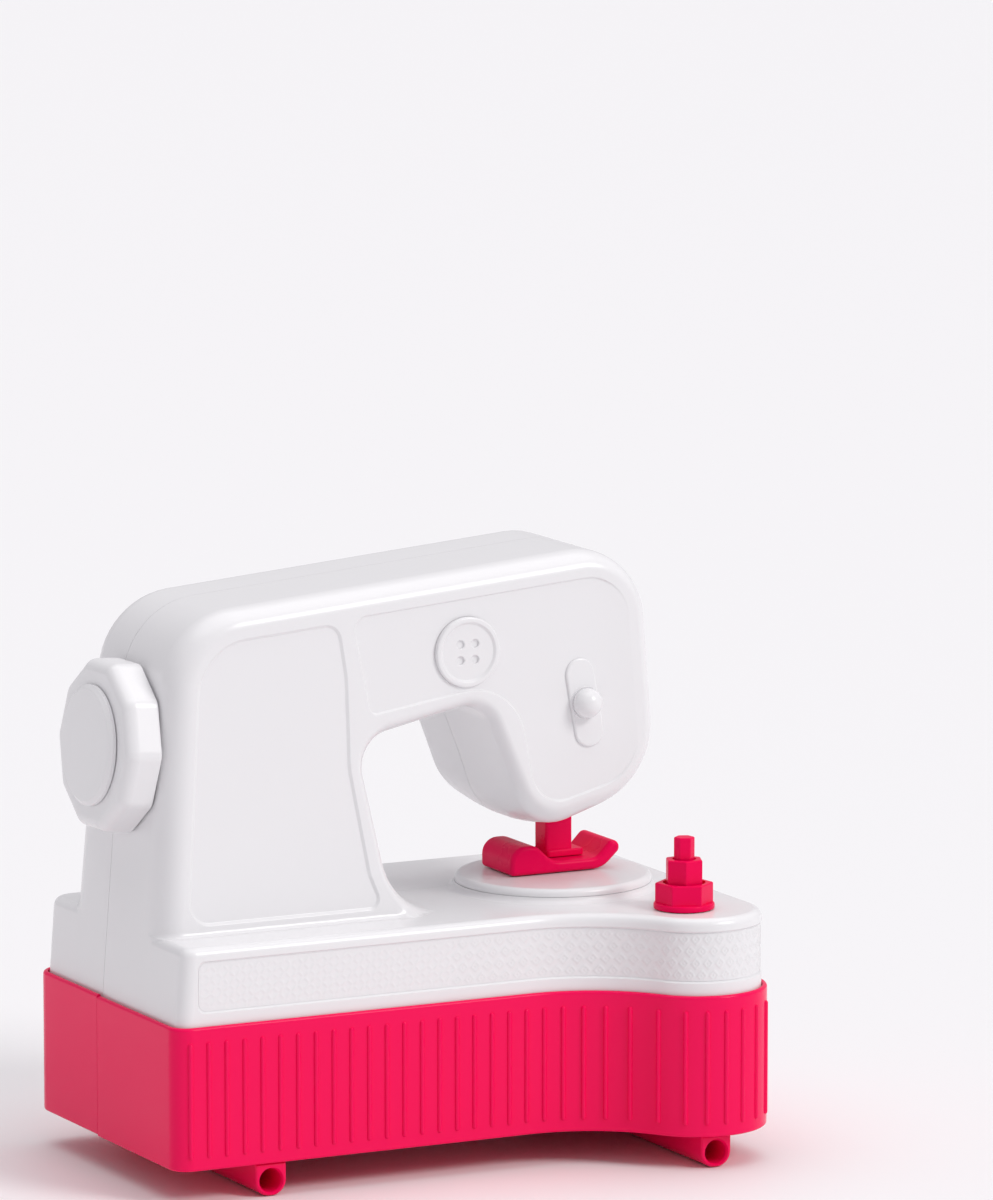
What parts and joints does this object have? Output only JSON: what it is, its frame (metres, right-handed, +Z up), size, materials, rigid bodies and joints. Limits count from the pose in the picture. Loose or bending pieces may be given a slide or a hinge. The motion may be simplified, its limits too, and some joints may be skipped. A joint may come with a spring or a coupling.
{
  "type": "toy sewing machine",
  "caption": "Toy sewing machine: rounded white casing on a ribbed pink base with foot tubes, a turning handwheel, a presser foot lifted by a ball knob, and stacked hexagon spindles.",
  "frame": {"origin": "middle of the footprint, on the floor under the foot tubes", "axes": "+X from the handwheel to the head, +Y from the front to the back, +Z up"},
  "size_m": [0.2244, 0.1496, 0.2058],
  "materials": {
    "white_plastic": "glossy white",
    "pink_plastic": "glossy hot pink",
    "magenta_plastic": "satin magenta",
    "nylon": "natural, matt",
    "steel": "bright plated"
  },
  "bodies": {
    "housing": {"body_front_shell": "white_plastic", "body_rear_shell": "white_plastic", "base_front_shell": "pink_plastic", "base_rear_shell": "pink_plastic", "base_plate": "pink_plastic", "left_foot_tube": "pink_plastic", "right_foot_tube": "pink_plastic", "needle_plate": "white_plastic", "arm_badge": "white_plastic", "outer_bush": "nylon", "inner_bush": "nylon", "click_spring": "steel", "click_spring_screw": "steel", "bar_guide": "nylon", "guide_screw_1": "steel", "guide_screw_2": "steel", "bar_spring": "steel", "body_screw_1": "steel", "body_screw_2": "steel", "body_screw_3": "steel", "body_screw_4": "steel", "body_screw_5": "steel", "base_screw_1": "steel", "base_screw_2": "steel", "base_screw_3": "steel", "base_screw_4": "steel", "plate_screw_1": "steel", "plate_screw_2": "steel"},
    "wheel": {"handwheel": "white_plastic", "handwheel_cap": "white_plastic", "handwheel_screw": "steel", "handwheel_shaft": "steel", "shaft_clip": "steel", "click_wheel": "nylon"},
    "foot": {"presser_foot": "magenta_plastic", "foot_bar": "magenta_plastic", "foot_screw": "steel", "lift_carriage": "nylon"},
    "knob": {"lift_knob": "white_plastic", "knob_retainer": "nylon"},
    "large_hex": {"large_hex_spindle": "magenta_plastic", "large_hex_ring": "steel"},
    "middle_hex": {"middle_hex_spindle": "magenta_plastic", "middle_hex_ring": "steel"},
    "small_hex": {"small_hex_spindle": "magenta_plastic", "spindle_washer": "steel", "spindle_screw": "steel"}
  },
  "joints": [
    {"name": "handwheel_turn", "type": "hinge", "parent": "housing", "child": "wheel", "pos_m": [-0.09493, 0.01558, 0.1469], "axis": [-0.9971, 0, 0.0765], "continuous": true},
    {"name": "foot_lift", "type": "slide", "parent": "housing", "child": "foot", "axis": [0, 0, 1], "range_m": [0, 0.0075], "stiffness_N_per_m": 150, "springref_m": -0.008, "deforming": ["bar_spring"]},
    {"name": "knob_slide", "type": "slide", "parent": "housing", "child": "knob", "axis": [-0.1564, 0.042, 0.9868], "range_m": [0, 0.0075]},
    {"name": "large_hex_turn", "type": "hinge", "parent": "housing", "child": "large_hex", "pos_m": [0.08318, -0.04962, 0.0864], "axis": [0, 0, 1], "continuous": true},
    {"name": "middle_hex_turn", "type": "hinge", "parent": "housing", "child": "middle_hex", "pos_m": [0.08318, -0.04962, 0.0955], "axis": [0, 0, 1], "continuous": true},
    {"name": "small_hex_turn", "type": "hinge", "parent": "housing", "child": "small_hex", "pos_m": [0.08318, -0.04962, 0.1036], "axis": [0, 0, 1], "continuous": true}
  ],
  "couplings": [
    {"joint": "knob_slide", "follows": "foot_lift", "ratio": 1}
  ]
}
